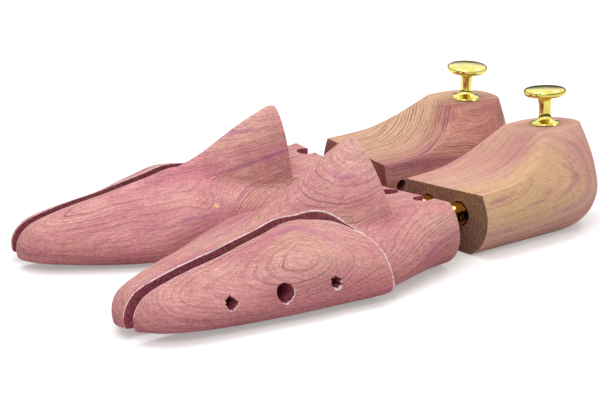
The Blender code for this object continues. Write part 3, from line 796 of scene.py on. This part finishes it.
for side in SIDES:
    block = place_piece(side + "_toe_cedar_block", block_body(), side)
    for material in cedar_faces(side + "_toe_cedar", side, TOE_WOODS[side]):
        block.data.materials.append(material)
    cutters = []
    for sign in (-1, 1):
        x, y = -ACCESS_INSET[sign], sign * TUBE_SPACING / 2
        cutters.append(tube_rod(TUBE_FRONT, OVERCUT, sign, TUBE_DIAMETER / 2 + FIT))
        cutters.append(rod(
            (x, y, TUBE_LEVEL), (x, y, PLATFORM_HEIGHT + OVERCUT), ACCESS_DIAMETER / 2,
        ))
    cutters += spring_rods(SPRING_POCKET - CUT_OFFSET, -CUT_OFFSET - SHORT_OVERCUT)
    # The rear face, the saw cut and the bores get the sawn finish with painted shade.
    mark_ends(block.data, side, (1, 0, 0))
    mark_cut(block.data, side, -CUT_OFFSET)
    bore(block, side, cutters, SAWN_SHADED)
    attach(block, side + "_toe")
    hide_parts(side + "_toe_block")

# Wings: the outer side of each toe block, sawn free and held off by two springs, so that the toe
# spreads a shoe. Two guide screws sit deep in its small holes, whose rims the drill has torn, and a
# wider hole between them lets air through.
SAW_CUT = 0.0016
WING_SPREAD = 0.0046
CUT_HAIRLINE = 0.00035
WING_LIFT = 0.0006
WING_NOSE_WIDTH = 0.0012
WING_TAIL_WIDTH = 0.0008
SPRING_SEAT = 0.0015
VENT_PLACE = -0.1042
VENT_DIAMETER = 0.0085
SCREW_HOLE_DIAMETER = 0.0056
HOLE_START = -0.008
OUTSIDE = 0.060
TEAR_FINENESS = 4.2
COUNTERSINK = 0.0007
COUNTERSINK_DEPTH = 0.0006


def wing_ring(x, edge):
    """Outline of the wing at one place, with its sawn face at a sideways place."""
    section = ToeSection(1 + x / TOE_LENGTH)
    widest = section.widest
    bottom = max(section.bottom, WING_LIFT - WING_SPREAD * math.tan(LEAN))
    top = section.level(edge, widest, section.crest)
    low = bottom
    if section.at(-1, bottom) > edge:
        low = section.level(edge, bottom, widest)
    high_side = section.line(-1, widest, top, 40)[::-1]
    low_side = section.line(-1, low, widest, 24)[::-1]
    sole = [low_side[-1], (edge, low)]
    face = [(edge, low), (edge, top)]
    return ring_of((
        (high_side, 30, SHARP), (low_side, 16, SOLE_ROUND),
        (sole, 8, EDGE_ROUND), (face, 16, EDGE_ROUND),
    ))


def wing_reach(x, edge):
    """How far the outer surface stands out beyond the wing's sawn face."""
    section = ToeSection(1 + x / TOE_LENGTH)
    return edge - section.at(-1, section.widest)


def wing_body():
    edge = -CUT_OFFSET - SAW_CUT
    front = -TOE_LENGTH
    while wing_reach(front, edge) < WING_NOSE_WIDTH:
        front += 2 * HAIR
    straight_end = -CUT_EXIT - CUT_RADIUS - CUT_HAIRLINE
    nose = wing_ring(front, edge)
    rings = [standing(shrunk(nose, EDGE_ROUND), front - EDGE_ROUND / 2), standing(nose, front)]
    steps = 54
    for i in range(1, steps + 1):
        x = front + (straight_end - front) * (i / steps) ** 1.7
        rings.append(standing(wing_ring(x, edge), x))
    for x, place in cut_turn(straight_end, edge, 40):
        if wing_reach(x, place) < WING_TAIL_WIDTH:
            break
        rings.append(standing(wing_ring(x, place), x))
    bm = loft(rings)
    bmesh.ops.translate(bm, vec=(0.0, -WING_SPREAD, 0.0), verts=bm.verts)
    return bm


def torn_hole(x, radius, seed, chip):
    """Drilled hole whose rim is chipped out unevenly by a share of its radius."""
    bm = rod((x, HOLE_START, SCREW_LEVEL), (x, -OUTSIDE, SCREW_LEVEL), radius, 40)
    for vert in bm.verts:
        around = Vector((vert.co.x - x, 0.0, vert.co.z - SCREW_LEVEL)).normalized()
        tear = noise.noise(around * TEAR_FINENESS + Vector((seed, 0.0, 0.0)))
        vert.co += around * radius * chip * tear
    return bm


def countersink(x, radius):
    """Shallow bevel round a hole, where it comes out of the wing's curved side."""
    skin = ToeSection(1 + x / TOE_LENGTH).at(-1, SCREW_LEVEL) - WING_SPREAD
    outer, inner = (x, skin - COUNTERSINK, SCREW_LEVEL), (x, skin + COUNTERSINK_DEPTH, SCREW_LEVEL)
    return rod(outer, inner, radius + COUNTERSINK, end_radius=radius * 0.95)


HOLES = (
    (SCREW_PLACES[0], SCREW_HOLE_DIAMETER, 1.0, 0.5), (VENT_PLACE, VENT_DIAMETER, 4.0, 0.06),
    (SCREW_PLACES[1], SCREW_HOLE_DIAMETER, 9.0, 0.7),
)
WING_WOOD = dict(
    TOE_WOOD, pith=(-241.0, 176.3), tilt=(-0.45, -0.171), sag=(-88.0, 0.0012), bend=1.6, flute=0.5,
    first=0.45,
)
WING_WOODS = {"left": dict(WING_WOOD, seed=2.6), "right": dict(WING_WOOD, seed=6.4)}
for side in SIDES:
    wing = place_piece(side + "_toe_cedar_wing", wing_body(), side)
    for material in cedar_faces(side + "_wing_cedar", side, WING_WOODS[side]):
        wing.data.materials.append(material)
    face = -CUT_OFFSET - SAW_CUT - WING_SPREAD
    mark_cut(wing.data, side, face, CUT_HAIRLINE)
    # The bevels round the holes get the painted highlight.
    bore(wing, side, [countersink(x, diameter / 2) for x, diameter, seed, chip in HOLES], EDGE_HIGHLIGHT)
    cutters = [torn_hole(x, diameter / 2, seed, chip) for x, diameter, seed, chip in HOLES]
    cutters += spring_rods(face - SPRING_SEAT, face + SHORT_OVERCUT)
    # The holes' walls get the sawn finish with painted shade.
    bore(wing, side, cutters, SAWN_SHADED)
    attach(wing, side + "_wing")
    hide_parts(side + "_toe_wing")

# Screws, pins, studs and springs: plain steel. The screws show only as a dull gleam down their holes
# and the wings' springs only in the saw cuts, while the heels' springs are hidden in their bores. A
# spring sits loose between two seats.
STEEL_GREY = srgb(150, 148, 144)
STEEL_SHADE = srgb(112, 108, 102)
MERGE = 1e-6


def steel():
    finish = Finish("plain_steel")
    rub = finish.noise(finish.place, scale=900.0, detail=3.0)
    colour = finish.mix(rub.step(0.35, 0.7), STEEL_GREY, STEEL_SHADE)
    finish.feed(Base_Color=colour, Metallic=1.0, Roughness=rub * 0.25 + 0.25)
    return finish.material


STEEL = steel()
for name, node in frame["nodes"].items():
    if "screw" in name or "pin" in name or "stud" in name:
        node.data.materials.clear()
        node.data.materials.append(STEEL)


def coil(side, label, spot, body, joint):
    """Spring that a joint squeezes, copied from the frame in plain steel and attached to a body."""
    node = side + "_" + label + "_spring_" + spot
    bm = bmesh.new()
    bm.from_mesh(frame["nodes"][node].data)
    bmesh.ops.remove_doubles(bm, verts=bm.verts, dist=MERGE)
    piece = make_piece(side + "_" + label + "_coil_" + spot, bm, 50.0)
    piece.data.materials.append(STEEL)
    axis = joint_axis(side + joint)
    places = sorted((vert.co for vert in piece.data.vertices), key=axis.dot)
    length = axis.dot(places[-1]) - axis.dot(places[0])
    keep = 1 - (find_joint(side + joint)["range_m"][1] + FIT) / length
    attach(piece, side + body)
    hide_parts(node)
    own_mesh(piece)


for side in SIDES:
    for spot in ("front", "rear"):
        coil(side, "wing", spot, "_toe", "_wing_squeeze")
    for spot in ("lateral", "medial"):
        coil(side, "heel", spot, "_heel", "_heel_squeeze")

# Twin tubes: thin brass-plated steel, bright and slightly orange, with a slot through both walls in
# which the heel's cross pin travels.
TUBE_WALL = 0.0008
SLOT_START = 0.0105
SLOT_END = 0.0315
SLOT_HALF = 0.0025
BRASS = srgb(250, 206, 96)
BRASS_DEEP = srgb(222, 150, 50)


def brass(name, pale, deep, roughness):
    finish = Finish(name)
    smear = finish.noise(finish.place, scale=60.0, detail=4.0)
    scratch = finish.noise(finish.place, scale=2400.0)
    colour = finish.mix(smear.step(0.4, 0.75) * 0.5, pale, deep)
    finish.feed(
        Base_Color=colour, Metallic=1.0, Roughness=smear * 0.08 + scratch * 0.04 + roughness,
        Normal=finish.bump(scratch, 0.02, 0.0001),
    )
    return finish.material


TUBE_BRASS = brass("tube_brass", BRASS, BRASS_DEEP, 0.07)
for side in SIDES:
    for label, sign in (("lateral", -1), ("medial", 1)):
        bar = tube_rod(TUBE_FRONT, TUBE_REAR, sign, TUBE_DIAMETER / 2, 64)
        tube = place_piece(side + "_brass_tube_" + label, bar, side)
        tube.data.materials.append(TUBE_BRASS)
        bore_radius = TUBE_DIAMETER / 2 - TUBE_WALL
        hollow = tube_rod(TUBE_FRONT - OVERCUT, TUBE_REAR + OVERCUT, sign, bore_radius)
        slot = bmesh.new()
        size = Matrix.Diagonal((SLOT_END - SLOT_START, 3 * OVERCUT, 2 * SLOT_HALF, 1.0))
        middle = ((SLOT_START + SLOT_END) / 2, sign * TUBE_SPACING / 2, TUBE_LEVEL)
        bmesh.ops.create_cube(slot, size=1.0, matrix=Matrix.Translation(middle) @ size)
        bore(tube, side, (hollow, slot))
        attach(tube, side + "_toe")
        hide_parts(side + "_tube_" + label)

# Heel blocks: cedar cut nearer the bark, so yellow sapwood shows. A saddle is shaped down to the
# front, the top is flat for the knob, and two bores in the front face slide over the tubes.
HEEL_GAP = 0.020
HEEL_LENGTH = 0.092
HEEL_HALF_WIDTH = 0.0298
HEEL_FLARE = 0.05
HEEL_UNDERSIDE_REACH = 1.16
HEEL_UNDERSIDE_FULLNESS = 2.2
HEEL_FULLNESS = 1.4
HEEL_TOP_REACH = 1.34
HEEL_REAR_REACH = 0.18
HEEL_REAR_FADE = 0.4
HEEL_REAR_SHAPE = (0.9, 0.82)
HEEL_WIDEST_LEVEL = 0.019
HEEL_FRONT_HEIGHT = 0.0297
HEEL_HEIGHT = 0.0492
SADDLE_LENGTH = 0.0524
SADDLE_ROUND = 0.006
SADDLE_EDGE = 0.0008
HEEL_SOLE_RINGS = ((0.0, 0.0012), (0.0002, 0.0003))
HEEL_LIP_RINGS = ((0.0, 0.0006), (0.00015, 0.00015))
HEEL_TOP_EDGE = 0.0002
HEEL_REAR_START = 0.058
HEEL_BORE_DIAMETER = 0.0121
HEEL_BORE_DEPTH = 0.075
PIN_PLACE = 0.009
PIN_MEDIAL_REACH = 0.0175
PIN_ENTRY_DIAMETER = 0.0062
SADDLE_LINE = (
    (0.0, 0.0), (0.19, 0.02), (0.38, 0.06), (0.48, 0.11), (0.57, 0.185), (0.67, 0.30), (0.765, 0.45),
    (0.86, 0.65), (0.955, 0.88), (1.0, 1.0),
)
HEEL_REAR_LINE = (
    (0.0, 0.85), (0.06, 0.905), (0.12, 0.94), (0.24, 0.98), (0.37, 1.0), (0.5, 1.002), (0.73, 0.995),
    (1.0, 0.965),
)


def heel_half_width(level, run):
    """Half width of the heel block at a height and a place behind its front face."""
    widest = HEEL_HALF_WIDTH * (1 + HEEL_FLARE * min(run / HEEL_REAR_START, 1.0))
    if level <= HEEL_WIDEST_LEVEL:
        under = (HEEL_WIDEST_LEVEL - level) / (HEEL_WIDEST_LEVEL * HEEL_UNDERSIDE_REACH)
        return widest * bulge(under, HEEL_UNDERSIDE_FULLNESS)
    rise = HEEL_HEIGHT - HEEL_WIDEST_LEVEL
    behind = min(max(run / SADDLE_LENGTH - 1.0, 0.0) / HEEL_REAR_FADE, 1.0)
    reach = rise * (HEEL_TOP_REACH + HEEL_REAR_REACH * behind)
    return widest * bulge((level - HEEL_WIDEST_LEVEL) / reach, HEEL_FULLNESS)


def heel_slice(front, level, inset=0.0):
    """Outline of the heel block at one height, from its front edge back round the heel."""
    rear = HEEL_LENGTH * curve(HEEL_REAR_LINE, level / HEEL_HEIGHT) - inset
    start = HEEL_REAR_START
    front = front + inset
    along_power, across_power = HEEL_REAR_SHAPE
    flank = []
    for i in range(20):
        run = front + (start - front) * i / 20
        flank.append((run, heel_half_width(level, run) - inset))
    for i in range(40):
        angle = RIGHT_ANGLE * i / 40
        run = start + (rear - start) * math.sin(angle) ** along_power
        flank.append((run, (heel_half_width(level, run) - inset) * math.cos(angle) ** across_power))
    flank.append((rear, 0.0))
    rise = min(max((level - HEEL_FRONT_HEIGHT) / (HEEL_HEIGHT - HEEL_FRONT_HEIGHT), 0.0), 1.0)
    soft = EDGE_ROUND + SADDLE_ROUND * rise ** 0.7
    lateral = [(run, -y) for run, y in flank]
    medial = flank[::-1]
    across = [medial[-1], lateral[0]]
    ring = ring_of(((lateral, 46, SHARP), (medial, 46, soft), (across, 26, soft)))
    return [(HEEL_GAP + x, y, grounded(y, level)) for x, y in ring]


def heel_body():
    rings = [heel_slice(0.0, level, inset) for level, inset in HEEL_SOLE_RINGS]
    steps = 26
    for i in range(1, steps):
        rings.append(heel_slice(0.0, HEEL_FRONT_HEIGHT * (i / steps) ** 1.25))
    for front, depth in HEEL_LIP_RINGS:
        rings.append(heel_slice(front, HEEL_FRONT_HEIGHT - depth))
    steps = 36
    first = SADDLE_EDGE / SADDLE_LENGTH
    for i in range(steps):
        share = first + (1 - first) * (i / steps) ** 0.85
        level = HEEL_FRONT_HEIGHT + (HEEL_HEIGHT - HEEL_FRONT_HEIGHT) * curve(SADDLE_LINE, share)
        rings.append(heel_slice(SADDLE_LENGTH * share, level))
    rings.append(heel_slice(SADDLE_LENGTH - HEEL_TOP_EDGE, HEEL_HEIGHT - HEEL_TOP_EDGE))
    rings.append(heel_slice(SADDLE_LENGTH, HEEL_HEIGHT, EDGE_ROUND))
    return loft(rings)


HEEL_WOOD = dict(
    TOE_WOOD, light=srgb(220, 172, 152), mid=srgb(208, 150, 142), ochre=srgb(220, 186, 140),
    # The low colour is painted shade towards the sole.
    low=srgb(194, 142, 122), low_level=(0.0, 14.0), low_share=0.4, deep=srgb(182, 126, 108),
    line=srgb(122, 74, 62), line_width=0.17, violet=srgb(180, 108, 130), violet_share=0.6, fine=0.14,
    # The first sawn colour is darker end grain with painted shade; the second is the saw marks.
    saw_shade=srgb(112, 80, 62), saw_line=srgb(56, 38, 30), sap=srgb(220, 178, 138), grit=0.7,
)
HEEL_WOODS = {
    "left": dict(
        HEEL_WOOD, seed=3.7, pith=(-40.4, 64.2), tilt=(-0.395, -0.165), bend=2.0, flute=0.5, spacing=4.1,
        pace=0.0, first=0.134, sap_range=(46.0, 57.0), bands=((54.0, 0.9, 0.25), (59.5, 1.4, 0.2)),
    ),
    "right": dict(
        HEEL_WOOD, seed=5.2, pith=(-100.0, -75.0), tilt=(0.0, 0.02), bend=4.0, flute=0.6, spacing=1.6,
        sap=srgb(238, 196, 160), sap_range=(144.0, 172.0), bands=((158.0, 0.8, 0.25), (163.0, 1.2, 0.4)),
        light=srgb(210, 148, 138), mid=srgb(192, 120, 116), line=srgb(96, 44, 52), line_width=0.3,
        # The low colour is painted shade, reaching up the side below the saddle.
        violet=srgb(154, 84, 114), violet_share=0.45, low=srgb(168, 102, 98), low_level=(8.0, 44.0),
        # The first sawn colour is darker end grain with painted shade; the second is the saw marks.
        low_share=0.75, saw_shade=srgb(140, 66, 72), saw_line=srgb(66, 26, 34), grit=1.0, ink=1.1,
        fine=0.5,
    ),
}
for side in SIDES:
    heel = place_piece(side + "_heel_cedar_block", heel_body(), side)
    heel.data.materials.append(cedar(side + "_heel_cedar", side, HEEL_WOODS[side]))
    # The second finish is darker end grain with painted shade, on the front face and in the bores.
    heel.data.materials.append(cedar(side + "_heel_cedar_sawn", side, HEEL_WOODS[side], sawn_shaded=True))
    mark_ends(heel.data, side, (-1, 0, 0))
    cutters = [
        tube_rod(HEEL_GAP - OVERCUT, HEEL_GAP + HEEL_BORE_DEPTH, sign, HEEL_BORE_DIAMETER / 2)
        for sign in (-1, 1)
    ]
    x = HEEL_GAP + PIN_PLACE
    pin_start, pin_end = (x, PIN_MEDIAL_REACH, TUBE_LEVEL), (x, OUTSIDE, TUBE_LEVEL)
    cutters.append(rod(pin_start, pin_end, PIN_ENTRY_DIAMETER / 2))
    bore(heel, side, cutters, SAWN_SHADED)
    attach(heel, side + "_heel")
    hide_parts(side + "_heel_block")

# Knobs: cast brass, turned and polished, with a trumpet foot on the block, a waisted stem, a small
# collar and a lens-shaped head. A steel stud inside screws each one down.
KNOB_PLACE = 0.0704
KNOB_DIAMETER = 0.0213
KNOB_HEIGHT = 0.0188
KNOB_STEM_DIAMETER = 0.0058
KNOB_FLANGE_DIAMETER = 0.0155
KNOB_BRASS = brass("knob_brass", srgb(226, 216, 118), srgb(190, 160, 62), 0.05)


def knob_profile():
    """Smooth line of (radius, height) points from the foot's middle to the top of the head."""
    disc = KNOB_DIAMETER / 2
    stem = KNOB_STEM_DIAMETER / 2
    flange = KNOB_FLANGE_DIAMETER / 2
    height = KNOB_HEIGHT
    points = (
        (0.0, 0.0), (flange * 0.92, 0.0), (flange * 0.96, height * 0.02), (flange * 0.92, height * 0.05),
        (flange * 0.68, height * 0.08), (stem * 1.42, height * 0.12), (stem * 1.12, height * 0.18),
        (stem * 1.0, height * 0.28), (stem * 1.0, height * 0.42), (stem * 1.1, height * 0.58),
        (stem * 1.22, height * 0.66), (stem * 1.5, height * 0.70), (disc * 0.60, height * 0.725),
        (disc * 0.87, height * 0.755), (disc * 0.985, height * 0.81), (disc, height * 0.86),
        (disc * 0.975, height * 0.91), (disc * 0.85, height * 0.955), (disc * 0.5, height * 0.985),
        (0.0, height),
    )
    radii = [(i, point[0]) for i, point in enumerate(points)]
    heights = [(i, point[1]) for i, point in enumerate(points)]
    fine = 4
    line = []
    for i in range((len(points) - 1) * fine + 1):
        line.append((max(curve(radii, i / fine), 0.0), min(curve(heights, i / fine), height)))
    line[0] = points[0]
    line[-1] = points[-1]
    return line


for side in SIDES:
    bm = bmesh.new()
    verts = [bm.verts.new((radius, 0.0, height)) for radius, height in knob_profile()]
    edges = [bm.edges.new(pair) for pair in zip(verts, verts[1:])]
    bmesh.ops.spin(
        bm, geom=verts + edges, cent=(0, 0, 0), axis=(0, 0, 1), angle=2 * math.pi, steps=72,
        use_merge=True,
    )
    bmesh.ops.remove_doubles(bm, verts=bm.verts, dist=MERGE)
    bmesh.ops.translate(bm, vec=(HEEL_GAP + KNOB_PLACE, 0.0, HEEL_HEIGHT + FIT), verts=bm.verts)
    knob = place_piece(side + "_brass_knob", bm, side, 60.0)
    knob.data.materials.append(KNOB_BRASS)
    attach(knob, side + "_heel")
    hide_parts(side + "_heel_knob")

# Floor and light: a white floor, a large soft light overhead, a smaller one from the toes and one
# from the heels. The sky is pale, but mirrored in brass it is dark low down and bright high up.
FLOOR_SIZE = 6.0
FLOOR_WHITE = 0.86
FLOOR_BOUNCE = 0.60
FLOOR_LIFT = 0.30
SKY_LIGHT = 0.58
SHEEN = (0.05, 1.3)
SHEEN_HEIGHTS = (0.12, 0.42)


class Sky(Finish):
    """World whose nodes are added in the same way."""

    def __init__(self, name):
        self.world = bpy.data.worlds.new(name)
        self.world.use_nodes = True
        self.tree = self.world.node_tree
        self.shader = self.tree.nodes["Background"]


bm = bmesh.new()
bmesh.ops.create_grid(bm, x_segments=1, y_segments=1, size=FLOOR_SIZE / 2)
floor_mesh = bpy.data.meshes.new("floor")
bm.to_mesh(floor_mesh)
bm.free()
floor = add_object("floor", floor_mesh)
floor_finish = Finish("white_floor")
seen = floor_finish.ray("Camera").at_least(floor_finish.ray("Glossy"))
floor_finish.feed(
    Base_Color=floor_finish.mix(seen, (FLOOR_BOUNCE,) * 3, (FLOOR_WHITE,) * 3),
    Emission_Color=floor_finish.mix(seen, (0.0, 0.0, 0.0), (FLOOR_LIFT,) * 3),
    Emission_Strength=1.0, Roughness=0.9, Specular_IOR_Level=0.1,
)
floor_mesh.materials.append(floor_finish.material)

sky = Sky("studio")
direction = sky.node("ShaderNodeTexCoord", {}, {}, "Generated")
height = sky.node("ShaderNodeSeparateXYZ", {}, (direction,), "Z")
sheen = height.step(*SHEEN_HEIGHTS, *SHEEN)
power = sky.node("ShaderNodeMix", {}, {0: sky.ray("Glossy"), 2: SKY_LIGHT, 3: sheen})
power = sky.node("ShaderNodeMix", {}, {0: sky.ray("Camera"), 2: power, 3: 1.0})
sky.feed(Color=(1.0, 1.0, 1.0, 1.0), Strength=power)
bpy.context.scene.world = sky.world


def soft_light(name, place, size, energy):
    """Round soft light that is turned to the middle of the pair."""
    data = bpy.data.lights.new(name, "AREA")
    data.shape = "DISK"
    data.size = size
    data.energy = energy
    lamp = add_object(name, data)
    lamp.location = place
    lamp.rotation_euler = (-Vector(place)).to_track_quat("-Z", "Y").to_euler()


soft_light("overhead", (-0.25, 0.15, 1.2), 0.9, 4.5)
soft_light("key", (-0.8, -0.7, 1.1), 0.6, 4.5)
soft_light("rear", (0.8, 0.05, 1.0), 0.4, 3.0)

# Camera: it stands where the photograph was taken from, low and in front of the left tree's outer
# side. Its place, aim and lens were fitted to edges and holes that can be told in the photograph.
CAMERA_PLACE = Vector((-0.4475, -0.6154, 0.2489))
CAMERA_AIM = Vector((0.0346, 0.0669, -0.0005))
CAMERA_ROLL = math.radians(-0.47)
CAMERA_LENS = 98.56
camera_data = bpy.data.cameras.new("camera")
camera_data.lens = CAMERA_LENS
camera_data.sensor_width = 36.0
camera = add_object("camera", camera_data)
turn = (CAMERA_AIM - CAMERA_PLACE).to_track_quat("-Z", "Y").to_matrix().to_4x4()
camera.matrix_world = Matrix.Translation(CAMERA_PLACE) @ turn @ Matrix.Rotation(CAMERA_ROLL, 4, "Z")
bpy.context.scene.camera = camera
bpy.context.scene.view_settings.view_transform = "Standard"
